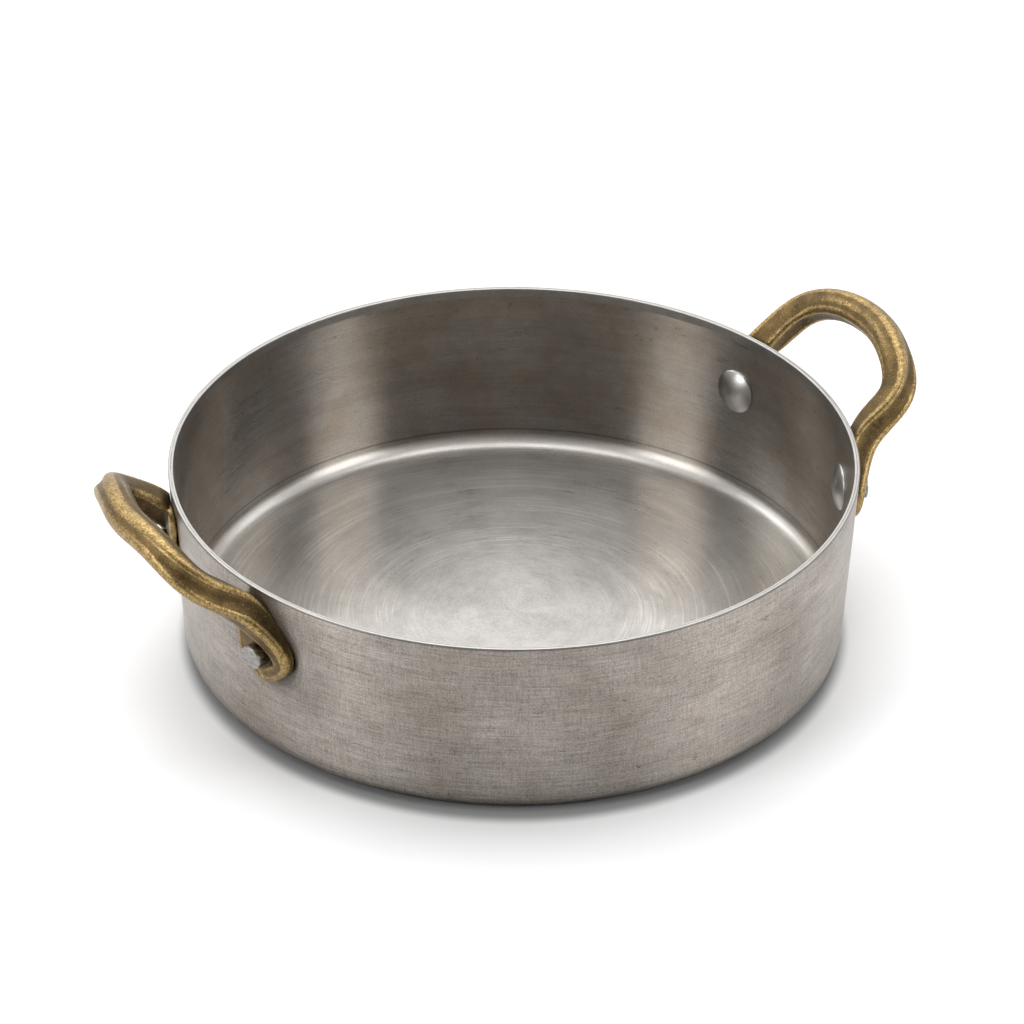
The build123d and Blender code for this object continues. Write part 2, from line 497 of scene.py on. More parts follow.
@dataclass(frozen=True)
class BrushedOutside(Metal):
    """Pan's outside: hairlines both ways, short scratches, pits, and wear round the lugs and foot;
    grime and painted shadow round the lugs, and painted shade at the foot and under the rim.

    Its lug_sweeps are how far round the pan the lugs lie from the front, at sweep_radius.
    """

    steel: Colour = (0.352, 0.318, 0.285)
    browned: Colour = (0.235, 0.195, 0.158)
    pale: Colour = (0.470, 0.452, 0.430)
    rough: float = 0.41
    relief: float = 0.010
    brushed: float = 0.84
    lug_height: float = 36.8
    lug_sweeps: Pair = (123.5, 187.5)
    sweep_radius: float = 99.0
    across: Noise = Noise(stretch=(9.0, 9.0, 2.3), detail=3.0, rough=0.7, shade=1.15, relief=0.4)
    upright: Noise = Noise(stretch=(2.1, 2.1, 0.14), rough=0.65, shade=0.60, relief=0.3)
    grain: Noise = Noise(2.6, detail=3.0, rough=0.75, shade=2.00, blur=0.14, relief=0.3)
    cloud: Noise = Noise(0.045, detail=3.0, rough=0.55, blur=0.14)
    blotch: Noise = Noise(0.24, detail=4.0, rough=0.65, shade=0.40)
    band: Noise = Noise(stretch=(3.2, 3.2, 0.11), detail=3.0, rough=0.6, shade=0.60)
    scratch: Noise = Noise(stretch=(26.0, 26.0, 2.6), detail=1.0)
    nick: Noise = Noise(stretch=(1.7, 1.7, 0.32), detail=1.0)
    slash: Noise = Noise(detail=1.0)
    slash_across: Pair = (0.75, 1.6)
    slash_along: Pair = (0.22, -0.11)
    slash_drift: float = 3.0
    scratches: Patches = Patches((0.70, 0.80), (0.42, 0.56))
    nicks: Patches = Patches((0.72, 0.82), (0.46, 0.60))
    slashes: Patches = Patches((0.69, 0.79), (0.47, 0.60))
    mark_shade: float = 0.48
    mark_blur: float = 0.05
    pit_scale: float = 0.42
    pits: Patches = Patches((0.13, 0.06), (0.50, 0.62))
    pit_browning: float = 0.6
    pit_shade: float = 0.45
    near_ring: Line = Line(12.4, 0.7, 0.45)
    far_ring: Line = Line(14.3, 0.5, 0.27)
    ring_cover: Step = Step(0.34, 0.56)
    # grime round the rivets that is also a painted shadow of the lug: it browns and darkens the wall
    # near them
    grime_and_lug_shadow: Step = Step(15.5, 9.0, 0.50)
    # painted shadow of the handle on the wall, a little out past the lugs
    soot: Step = Step(18.0, 6.0, 0.30)
    handle_shadow_out: float = 13.0
    handle_shadow_squash: float = 0.7071
    # painted shade: the wall darker towards its foot
    foot: Step = Step(7.5, 1.5, 0.34)
    # painted contact shade on the lowest millimetres of the wall
    contact_shade: Step = Step(3.2, 1.0, 0.72)
    # painted shade: a dark line just under the rim's outer edge
    under_rim_shade: Line = Line(55.85, 0.34, 0.55)
    scuff_height: Line = Line(2.1, 1.1, 0.75)
    scuffs: Patches = Patches((0.46, 0.60), (0.44, 0.58))
    browning_shares: Pair = (0.9, 0.5)
    browning: Step = Step(0.62, 0.98, 0.55)

    def paint(self, bench: Bench) -> None:
        """Builds the finish's nodes.

        Args:
            bench: The tree that they go into.
        """
        spot = bench.spot()
        z = spot.z
        layers = layers_at(spot.around(z - spot.radius), self.across, self.scratch)
        layers |= layers_at(spot.around(z), self.band)
        layers |= layers_at(spot.vector, self.upright, self.grain, self.nick)
        layers |= layers_at(spot.vector, self.cloud, self.blotch)
        scratch, cloud, blotch = layers[self.scratch], layers[self.cloud], layers[self.blotch]
        sweep = spot.x.angle_over(0.0 - spot.y) * self.sweep_radius
        across, along = (sweep * a + z * b for a, b in (self.slash_across, self.slash_along))
        slash = self.slash.at(bench.vector(across, along, cloud * self.slash_drift))
        marks = self.scratches.over(scratch, blotch) + self.nicks.over(layers[self.nick], blotch)
        marks = marks + self.slashes.over(slash, cloud)
        pits = self.pits.over(bench.cells(spot.vector, self.pit_scale), blotch)
        from_lug, from_handle_shadow = self.lug_distances(sweep, z)
        rings = self.near_ring.over(from_lug) + self.far_ring.over(from_lug)
        rings = rings * self.ring_cover.over(layers[self.band])
        # the lugs' grime with their painted shadow, and the handle's painted shadow beside them
        grime_and_lug_shadow, soot = self.grime_and_lug_shadow.over(from_lug), self.soot.over(from_handle_shadow)
        scuffs = self.scuffs.over(scratch, cloud) * self.scuff_height.over(z)
        by_cloud, by_blotch = self.browning_shares
        browning = self.browning.over(cloud * by_cloud + blotch * by_blotch) + grime_and_lug_shadow
        colour = bench.mix(browning + pits * self.pit_browning, self.steel, self.browned)
        colour = bench.mix(scuffs + rings, colour, self.pale)
        shade, rough, relief = self.sums(layers)
        # darker by the marks, the pits, the lugs' grime and painted shadow, and the handle's painted
        # shadow
        shade = shade.dimmed(marks.clamped() * self.mark_shade, pits * self.pit_shade, grime_and_lug_shadow, soot)
        # painted shade at the foot, at the contact and under the rim
        shade = shade.dimmed(self.foot.over(z), self.contact_shade.over(z), self.under_rim_shade.over(z))
        self.close(colour, shade, rough + marks * self.mark_blur, relief)

    def lug_distances(self, sweep: Wire, z: Wire) -> tuple[Wire, Wire]:
        """How far a point is from the lugs and from the painted handle shadow outside them.

        Args:
            sweep: The point's way round the pan from the front.
            z: Its height.

        Returns:
            Its distance from the nearest rivet, and from the nearest patch of painted handle shadow.
        """
        near, far = self.lug_sweeps
        rise = z - self.lug_height
        beside = (sweep.size() - near).size().smaller((sweep.size() - far).size())
        outward = (sweep.size() - (near + far) / 2).size() - (far - near) / 2 - self.handle_shadow_out
        return beside.span(rise), outward.span(rise * self.handle_shadow_squash)


@dataclass(frozen=True)
class FiledRim(Metal):
    """Cut edge of the sheet, filed flat, with a dark hairline along its middle."""

    steel: Colour = (0.36, 0.348, 0.33)
    rough: float = 0.38
    nick: Noise = Noise(0.9, detail=4.0, rough=0.7, shade=0.5, blur=0.2, relief=1.0)
    worn: Noise = Noise(0.10, detail=3.0, shade=0.5)
    hairline: Line = Line(99.15, 0.24, 0.6)
    hairline_cover: Step = Step(0.34, 0.50)
    # painted shade: the rim's outer rounding is made darker
    outer_edge: Step = Step(99.78, 99.94, 0.5)

    def paint(self, bench: Bench) -> None:
        """Builds the finish's nodes.

        Args:
            bench: The tree that they go into.
        """
        spot = bench.spot()
        layers = layers_at(spot.vector, self.nick, self.worn)
        hairline = self.hairline.over(spot.radius) * self.hairline_cover.over(layers[self.worn])
        shade, rough, relief = self.sums(layers)
        # darker along the hairline, and with painted shade on the outer rounding
        shade = shade.dimmed(hairline, self.outer_edge.over(spot.radius))
        self.close(self.steel, shade, rough, relief)


class WearMap(Enum):
    """What a handle's points store for its finish: how proud they stand and how they face in."""

    PROUD = "proud"
    OPENING = "opening"


@dataclass(frozen=True)
class CastBrass(Metal):
    """Cast brass, dull and grainy in the hollows and rubbed bright on the ridges.

    Its tarnish_shares are of the mottle, the grain and the cloud, its wear_swings of the grain and
    the mottle.
    """

    bright: Colour = (0.350, 0.245, 0.104)
    middle: Colour = (0.176, 0.117, 0.048)
    dark: Colour = (0.066, 0.044, 0.020)
    grey: Colour = (0.150, 0.112, 0.062)
    rough: float = 0.44
    least_rough: float = 0.12
    relief: float = 0.12
    grain: Noise = Noise(2.2, detail=3.0, rough=0.75, shade=2.6, blur=0.2, relief=0.7)
    mottle: Noise = Noise(0.75, detail=4.0, rough=0.65, shade=1.1, relief=0.2)
    cloud: Noise = Noise(0.22, detail=4.0)
    file_line: Noise = Noise(relief=0.1)
    file_lean: float = 0.3
    file_pitch: float = 2.6
    hollow: Step = Step(-0.15, -0.9, 0.6)
    ridge: Step = Step(0.2, 0.9)
    tarnish_shares: Triple = (0.5, 0.6, 0.45)
    tarnish: Step = Step(0.64, 0.92, 0.85)
    tarnish_blur: float = 0.1
    # tarnish with painted shade on the faces towards the loop's opening
    opening_tarnish_and_shade: float = 0.35
    ridge_rub: float = 0.35
    ridge_wear: float = 0.42
    wear_swings: Pair = (1.3, 0.7)
    wear: Step = Step(0.0, 0.66)
    wear_polish: float = 0.12
    grey_cloud: Step = Step(0.40, 0.70, 0.35)
    grey_lines: Step = Step(0.5, 0.8, 0.2)

    def paint(self, bench: Bench) -> None:
        """Builds the finish's nodes.

        Args:
            bench: The tree that they go into.
        """
        spot = bench.spot()
        x, y, z = spot.x, spot.y, spot.z
        filed = bench.vector(x * self.file_lean + z, y * self.file_pitch, z * self.file_lean - x)
        layers = layers_at(spot.vector, self.grain, self.mottle, self.cloud)
        layers |= layers_at(filed, self.file_line)
        grain, mottle, cloud, file_line = layers.values()
        proud, opening = (bench.attribute(wear_map.value) for wear_map in WearMap)
        ridge = self.ridge.over(proud)
        by_mottle, by_grain, by_cloud = self.tarnish_shares
        tarnish = self.tarnish.over(mottle * by_mottle + grain * by_grain + cloud * by_cloud)
        # tarnish in the hollows, and tarnish with painted shade towards the opening
        tarnish = tarnish + self.hollow.over(proud) + opening * self.opening_tarnish_and_shade
        tarnish = (tarnish - ridge * self.ridge_rub).clamped()
        by_grain, by_mottle = self.wear_swings
        wear = ridge * self.ridge_wear + grain.swing(by_grain) + mottle.swing(by_mottle)
        wear = self.wear.over(wear)
        greyed = self.grey_cloud.over(cloud) + self.grey_lines.over(file_line)
        colour = bench.mix(greyed, self.middle, self.grey)
        colour = bench.mix(wear, bench.mix(tarnish, colour, self.dark), self.bright)
        shade, rough, relief = self.sums(layers)
        rough = rough + tarnish * self.tarnish_blur - wear * self.wear_polish
        self.close(colour, shade, rough.larger(self.least_rough), relief)


@dataclass(frozen=True)
class RivetSteel(Metal):
    """Solid rivet, satin on its head, scratched and dulled on its hammered tail."""

    steel: Colour = (0.38, 0.37, 0.355)
    dull: Colour = (0.20, 0.18, 0.16)
    level: float = 1.22
    rough: float = 0.34
    grain: Noise = Noise(3.2, detail=4.0, rough=0.7, shade=0.5, blur=0.2, relief=1.0)
    mottle: Noise = Noise(0.7, detail=4.0, relief=0.5)
    file_line: Noise = Noise()
    file_pitch: Pair = (0.4, 2.6)
    file_lean: float = 0.8
    file_shade: float = 1.6
    outside: Step = Step(97.0, 99.0)
    outside_shade: float = 0.35
    # painted shade on the side of the hammered tail
    shank: Step = Step(104.7, 103.9, 0.40)
    dull_shares: Pair = (0.3, 0.9)
    dulling: Step = Step(0.52, 0.74)
    head_dulling: float = 0.4
    tail_dulling: float = 0.3

    def paint(self, bench: Bench) -> None:
        """Builds the finish's nodes.

        Args:
            bench: The tree that they go into.
        """
        spot = bench.spot()
        layers = layers_at(spot.vector, self.grain, self.mottle)
        outside = self.outside.over(spot.radius)
        along, across = self.file_pitch
        filed = bench.vector(
            spot.x * along, spot.y * along, spot.z * across + spot.x * self.file_lean
        )
        scratched = self.file_line.at(filed).swing(self.file_shade)
        by_mottle, by_grain = self.dull_shares
        dulled = self.dulling.over(layers[self.mottle] * by_mottle + layers[self.grain] * by_grain)
        dulled = dulled * (self.head_dulling + outside * self.tail_dulling)
        shade, rough, relief = self.sums(layers)
        # the tail: darker, scratched, and with painted shade on its side
        outside_shade = scratched - self.outside_shade - self.shank.over(spot.radius)
        shade = shade + outside * outside_shade
        self.close(bench.mix(dulled, self.steel, self.dull), shade, rough, relief)


@dataclass(frozen=True)
class PaleFloor(Finish):
    """Plain white studio floor, very slightly uneven, with a painted shadow round the pan's foot."""

    white: Colour = (0.90, 0.90, 0.90)
    shade: Colour = (0.88, 0.88, 0.885)
    rough: float = 0.8
    sheen: float = 0.1
    cloud: Noise = Noise(0.004, detail=3.0)
    contact_shade: Step = Step(99.6, 94.6, 0.62)
    contact_shade_shift: Pair = (1.7, 3.3)

    def paint(self, bench: Bench) -> None:
        """Builds the finish's nodes.

        Args:
            bench: The tree that they go into.
        """
        spot = bench.spot()
        aside, ahead = self.contact_shade_shift
        # painted contact shadow round the pan's foot, reaching farther to the front
        contact_shade = self.contact_shade.over((spot.x + aside).span(spot.y + ahead))
        colour = bench.mix(self.cloud.at(spot.vector), self.white, self.shade)
        sockets = {
            "Base Color": bench.tint(colour, 1.0 - contact_shade),
            "Roughness": self.rough,
            "Specular IOR Level": self.sheen,
        }
        bench.close(bench.node("ShaderNodeBsdfPrincipled", {}, sockets))


def arc(centre: Pair, radius: float, start: float, end: float, steps: int) -> list[Pair]:
    """Points on an arc, both ends included.

    Args:
        centre: Its centre.
        radius: Its radius.
        start: Angle of its first point, in degrees.
        end: Angle of its last point, in degrees.
        steps: Number of its parts.

    Returns:
        The points.
    """
    turns = [math.radians(start + (end - start) * i / steps) for i in range(steps + 1)]
    return [(centre[0] + radius * math.cos(t), centre[1] + radius * math.sin(t)) for t in turns]


def straight(start: Pair, end: Pair, steps: int) -> list[Pair]:
    """Points on a line, both ends included.

    Args:
        start: Its first point.
        end: Its last point.
        steps: Number of its parts.

    Returns:
        The points.
    """
    return [
        (start[0] + (end[0] - start[0]) * i / steps, start[1] + (end[1] - start[1]) * i / steps)
        for i in range(steps + 1)
    ]


def add_object(name: str, data: bpy.types.ID) -> bpy.types.Object:
    """Adds an object to the scene.

    Args:
        name: Its name.
        data: Its mesh, light or camera.

    Returns:
        The object.
    """
    made = bpy.data.objects.new(name, data)
    bpy.context.scene.collection.objects.link(made)
    return made


def add_piece(mesh: bpy.types.Mesh, replaces: str) -> bpy.types.Object:
    """Adds a mesh to the scene as a piece that stands for a node.

    Args:
        mesh: The mesh; the piece takes its name.
        replaces: The node that it stands for.

    Returns:
        The piece.
    """
    piece = add_object(mesh.name, mesh)
    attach(piece, "root")
    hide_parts(replaces)
    log.info("%s: %d faces, stands for %s", piece.name, len(mesh.polygons), replaces)
    return piece


def turned_mesh(name: str, profile: Sequence[Pair], around: int) -> bpy.types.Mesh:
    """Mesh turned about the Z axis, smooth-shaded, in metres.

    Args:
        name: The mesh's name.
        profile: Radius and height of each ring in millimetres; a radius of 0 makes one point.
        around: Points on each ring.

    Returns:
        The mesh, its faces in order of ring and then of turn.
    """
    points: list[Triple] = []
    rings: list[list[int]] = []
    for radius, height in profile:
        count = 1 if radius == 0 else around
        rings.append(list(range(len(points), len(points) + count)))
        for i in range(count):
            turn = 2 * math.pi * i / around
            points.append((radius * math.cos(turn) * MM, radius * math.sin(turn) * MM, height * MM))
    faces = []
    for low, high in zip(rings, rings[1:]):
        for i in range(around):
            j = (i + 1) % around
            pairs = ((low, i), (low, j), (high, j), (high, i))
            faces.append(tuple(dict.fromkeys(ring[turn % len(ring)] for ring, turn in pairs)))
    mesh = bpy.data.meshes.new(name)
    mesh.from_pydata(points, [], faces)
    mesh.shade_smooth()
    return mesh


@dataclass
class Skin:
    """A closed skin: its points in millimetres and its faces."""

    points: list[np.ndarray]
    faces: list[tuple[int, ...]]

    @classmethod
    def over(cls, rings: Sequence[Sequence[np.ndarray]]) -> Skin:
        """Skin stretched over rings with the same number of points, closed at both ends.

        Args:
            rings: The rings, from one end to the other.

        Returns:
            The skin.
        """
        count = len(rings[0])
        starts = [index * count for index in range(len(rings))]
        turns = [(i, (i + 1) % count) for i in range(count)]
        faces = [
            (low + i, low + j, high + j, high + i)
            for low, high in zip(starts, starts[1:])
            for i, j in turns
        ]
        faces.append(tuple(reversed(range(count))))
        faces.append(tuple(range(starts[-1], starts[-1] + count)))
        return cls([point for ring in rings for point in ring], faces)

    def add(self, other: Skin) -> None:
        """Takes in another skin.

        Args:
            other: The skin, whose points and faces go after its own.
        """
        first = len(self.points)
        self.faces += [tuple(first + i for i in face) for face in other.faces]
        self.points += other.points


class PanZone(Enum):
    """Surfaces of the pan that are finished differently, in order of their material slots."""

    OUTSIDE = 0
    RIM = 1
    INSIDE = 2


@dataclass
class Wall:
    """The pan's leaning wall, which the handles and rivets are fitted to."""

    rim_radius: float = 99.985
    base_radius: float = 97.3
    height: float = 56.3
    thickness: float = 1.6

    @property
    def lean(self) -> float:
        """Angle of the wall off upright, in radians."""
        return math.atan2(self.rim_radius - self.base_radius, self.height)

    def radius(self, z: float) -> float:
        """Outer radius at a height."""
        return self.base_radius + (self.rim_radius - self.base_radius) * z / self.height

    def normal(self, angle: float) -> np.ndarray:
        """Outward normal at an angle round the pan, in radians."""
        flat = math.cos(self.lean)
        return np.array([math.cos(angle) * flat, math.sin(angle) * flat, -math.sin(self.lean)])


@dataclass
class DrawnPan:
    """The pan: one drawn sheet with a rounded bottom corner and a filed rim."""

    wall: Wall
    floor: float = 2.4
    inner_corner: float = 4.5
    outer_corner: float = 4.5
    rim_round: float = 0.28
    around: int = 300
    underside_steps: int = 14
    outer_steps: int = 12
    rim_steps: int = 5
    wall_steps: int = 20
    inner_steps: int = 14
    floor_steps: int = 30
    finishes: dict[PanZone, Finish] = field(
        default_factory=lambda: {
            PanZone.OUTSIDE: BrushedOutside("steel_outside"),
            PanZone.RIM: FiledRim("steel_rim"),
            PanZone.INSIDE: BrushedInside("steel_inside"),
        }
    )

    def profile(self) -> list[tuple[float, float, PanZone]]:
        """Section of the pan from the middle of its underside to the middle of its floor.

        Returns:
            Radius, height and surface of each ring.
        """
        wall, outer, inner, edge = self.wall, self.outer_corner, self.inner_corner, self.rim_round
        lean = math.degrees(wall.lean)
        inner_foot = wall.radius(self.floor) - wall.thickness
        outer_centre = (wall.base_radius - outer * self._corner_run(), outer)
        inner_centre = (inner_foot - inner * self._corner_run(), self.floor + inner)
        outer_edge = (wall.rim_radius - edge - edge * math.sin(wall.lean), wall.height - edge)
        inner_edge = (wall.rim_radius - wall.thickness + edge, wall.height - edge)
        rim = arc(outer_edge, edge, -lean, 90.0, self.rim_steps)
        rim += arc(inner_edge, edge, 90.0, 180.0 - lean, self.rim_steps)
        outside = straight((0.0, 0.0), (outer_centre[0], 0.0), self.underside_steps)[:-1]
        outside += arc(outer_centre, outer, -90.0, -lean, self.outer_steps)
        outside += straight(outside[-1], rim[0], self.wall_steps)[1:-1]
        inner_arc = arc(inner_centre, inner, -lean, -90.0, self.inner_steps)
        inside = straight(rim[-1], inner_arc[0], self.wall_steps)[1:-1] + inner_arc
        inside += straight(inner_arc[-1], (0.0, self.floor), self.floor_steps)[1:]
        zones = zip((outside, rim, inside), PanZone)
        return [(radius, z, zone) for points, zone in zones for radius, z in points]

    def _corner_run(self) -> float:
        """How far a corner's centre stands in from the wall's foot, by its radius."""
        return math.tan(math.radians(45.0) + self.wall.lean / 2)

    def build(self) -> bpy.types.Object:
        """Makes and dresses the pan.

        Returns:
            The piece.
        """
        rings = self.profile()
        mesh = turned_mesh("steel_pan", [(radius, z) for radius, z, _ in rings], self.around)
        for zone in PanZone:
            mesh.materials.append(self.finishes[zone].material())
        for index, (_, _, zone) in enumerate(rings[:-1]):
            for face in mesh.polygons[index * self.around : (index + 1) * self.around]:
                face.material_index = zone.value
        return add_piece(mesh, "pan_body")


class Side(Enum):
    """The pan's two sides, by the angle of a handle's middle in degrees."""

    RIGHT = 0.0
    LEFT = 180.0


class Seat(Enum):
    """A handle's two rivets, by their turn from its middle."""

    REAR = 1
    FRONT = -1


@dataclass
class RivetRow:
    """Where the rivets go."""

    wall: Wall
    drop: float = 19.5
    pitch: float = 63.0

    @property
    def height(self) -> float:
        """Height of the rivets above the table."""
        return self.wall.height - self.drop

    @property
    def radius(self) -> float:
        """Outer radius of the wall at the rivets."""
        return self.wall.radius(self.height)

    @property
    def angle(self) -> float:
        """Turn from a handle's middle to its rivets, in radians."""
        return math.asin(self.pitch / 2 / self.radius)

    def frame(self, angle: float) -> np.ndarray:
        """Axes on the outside of the wall at a rivet.

        Args:
            angle: The rivet's angle round the pan, in radians.

        Returns:
            Rows: across (along the wall), up the wall, outward, and the seat's middle.
        """
        outward = self.wall.normal(angle)
        across = np.array([-math.sin(angle), math.cos(angle), 0.0])
        x, y = self.radius * math.cos(angle), self.radius * math.sin(angle)
        middle = np.array([x, y, self.height])
        return np.array([across, np.cross(outward, across), outward, middle])


@dataclass
class SolidRivet:
    """A rivet with a low domed head inside the pan and a short hammered tail outside."""

    row: RivetRow
    side: Side
    seat: Seat
    shank: float = 3.6
    head: float = 6.9
    edge: float = 0.5
    dome: float = 1.9
    tail: float = 6.0
    tail_round: float = 0.45
    tail_dent: float = 0.1
    dent_shares: tuple[float, ...] = (0.7, 0.5, 0.3, 0.15)
    dome_share: float = 0.97
    edge_roll: Pair = (0.02, 0.12)
    seat_draw: float = 0.05
    gap: float = 0.1
    around: int = 72
    dome_steps: int = 18
    edge_steps: int = 2
    shank_steps: int = 6
    round_steps: int = 4

    @property
    def node(self) -> str:
        """Name of the node that this rivet stands for."""
        front = (self.seat is Seat.FRONT) == (self.side is Side.RIGHT)
        return f"{self.side.name.lower()}_{'front' if front else 'rear'}_rivet"

    def profile(self) -> list[Pair]:
        """Section from the head's crown to the tail's middle.

        Returns:
            Distances from the rivet's axis, and heights outward from the wall's face.
        """
        wall, bend, dent = self.row.wall, self.tail_round, self.tail_dent
        seat = -wall.thickness / math.cos(wall.lean) - self.gap
        ball = (self.head**2 + self.dome**2) / (2 * self.dome)
        reach = math.degrees(math.asin(self.head / ball)) * self.dome_share
        centre = (0.0, seat - self.edge - self.dome + ball)
        dome = arc(centre, ball, -90.0, -90.0 + reach, self.dome_steps)
        roll_in, roll_up = self.edge_roll
        edge_start = (self.head - roll_in, seat - self.edge + roll_up)
        edge = straight(edge_start, (self.head - self.seat_draw, seat), self.edge_steps)
        shank = straight((self.shank, seat), (self.shank, self.tail - bend), self.shank_steps)
        tail = arc((self.shank - bend, self.tail - bend), bend, 0.0, 90.0, self.round_steps)
        face = [(self.shank * share, self.tail - dent * (1 - share)) for share in self.dent_shares]
        dome[0] = (0.0, dome[0][1])
        return dome + edge + shank + tail[1:] + face + [(0.0, self.tail - dent)]

    def build(self) -> bpy.types.Object:
        """Makes and dresses the rivet.

        Returns:
            The piece.
        """
        angle = math.radians(self.side.value) + self.seat.value * self.row.angle
        across, up, outward, middle = self.row.frame(angle)
        mesh = turned_mesh(f"{self.node}_dressed", self.profile(), self.around)
        wall = self.row.wall
        for vertex in mesh.vertices:
            local = np.array(vertex.co) / MM
            spot = middle + across * local[0] + up * local[1] + outward * local[2]
            if math.hypot(local[0], local[1]) > (self.shank + self.head) / 2:
                limit = wall.radius(spot[2]) - wall.thickness - self.gap
                spot[:2] *= min(1.0, limit / math.hypot(spot[0], spot[1]))
            vertex.co = Vector(spot * MM)
        mesh.materials.append(RivetSteel("rivet_steel").material())
        return add_piece(mesh, self.node)


class Curve3:
    """Smooth line through points, with natural ends and chord lengths as its parameter."""

    def __init__(self, points: np.ndarray) -> None:
        """Solves the line's bends at its points.

        Args:
            points: The points that it passes through, in order.
        """
        self.points = points
        steps = np.linalg.norm(np.diff(points, axis=0), axis=1)
        self.knots = np.concatenate([[0.0], np.cumsum(steps)]) / steps.sum()
        count = len(points)
        gaps = np.diff(self.knots)
        matrix = np.eye(count)
        right = np.zeros((count, 3))
        for i in range(1, count - 1):
            matrix[i, i - 1 : i + 2] = gaps[i - 1], 2 * (gaps[i - 1] + gaps[i]), gaps[i]
            before, after = points[i] - points[i - 1], points[i + 1] - points[i]
            right[i] = 6 * (after / gaps[i] - before / gaps[i - 1])
        self.bends = np.linalg.solve(matrix, right)

    def at(self, t: float) -> tuple[np.ndarray, np.ndarray]:
        """Place and direction.

        Args:
            t: From 0 at the first point to 1 at the last.

        Returns:
            The point and the unit tangent there.
        """
        i = int(np.clip(np.searchsorted(self.knots, t) - 1, 0, len(self.points) - 2))
        gap = self.knots[i + 1] - self.knots[i]
        b = (t - self.knots[i]) / gap
        a = 1.0 - b
        first, second = self.points[i], self.points[i + 1]
        bend, next_bend = self.bends[i], self.bends[i + 1]
        point = a * first + b * second
        point = point + ((a**3 - a) * bend + (b**3 - b) * next_bend) * gap**2 / 6
        along = (second - first) / gap
        along = along + gap / 6 * ((3 * b**2 - 1) * next_bend - (3 * a**2 - 1) * bend)
        return point, along / np.linalg.norm(along)


@dataclass(frozen=True)
class Section:
    """One section of the bar.

    It has its width and depth, how far it lies as at the crest, the radii of its four long edges,
    and how far its faces are dished or crowned between them.
    """

    width: float
    depth: float
    crest_share: float
    outer_back: float
    inner_back: float
    outer_front: float
    inner_front: float
    outer_dish: float = 0.0
    inner_dish: float = 0.0
    back_crown: float = 0.0

    def outline(self, edge_steps: int, face_steps: int) -> list[Pair]:
        """Outline from the inner back edge round by the outer side.

        Args:
            edge_steps: Parts of each edge.
            face_steps: Parts of each face between them.

        Returns:
            Points round the section, the same number for every section.
        """
        corners = (
            (-1, -1, self.inner_back, 180.0, self.back_crown),
            (1, -1, self.outer_back, 270.0, -self.outer_dish),
            (1, 1, self.outer_front, 0.0, 0.0),
            (-1, 1, self.inner_front, 90.0, -self.inner_dish),
        )
        turned = []
        for sign_x, sign_y, radius, start, swell in corners:
            centre = (sign_x * (self.width / 2 - radius), sign_y * (self.depth / 2 - radius))
            facing = start + 90.0
            turned.append((arc(centre, radius, start, facing, edge_steps), facing, swell))
        points: list[Pair] = []
        for (corner, facing, swell), (following, *_) in zip(turned, turned[1:] + turned[:1]):
            out_x, out_y = math.cos(math.radians(facing)), math.sin(math.radians(facing))
            points += corner
            face = straight(corner[-1], following[0], face_steps)[1:-1]
            for step, (a, b) in enumerate(face, 1):
                bulge = swell * (1.0 - (2 * step / face_steps - 1.0) ** 2)
                points.append((a + out_x * bulge, b + out_y * bulge))
        return points


@dataclass(frozen=True)
class BarSlice:
    """One slice of the bar: its middle, its axes across and to the front, and its section."""

    middle: np.ndarray
    aside: np.ndarray
    front: np.ndarray
    section: Section

    def shares(self, place: np.ndarray) -> Pair:
        """A place's distances aside and to the front, as shares of the section's half sizes."""
        a, b = float((place - self.middle) @ self.aside), float((place - self.middle) @ self.front)
        return 2 * a / self.section.width, 2 * b / self.section.depth


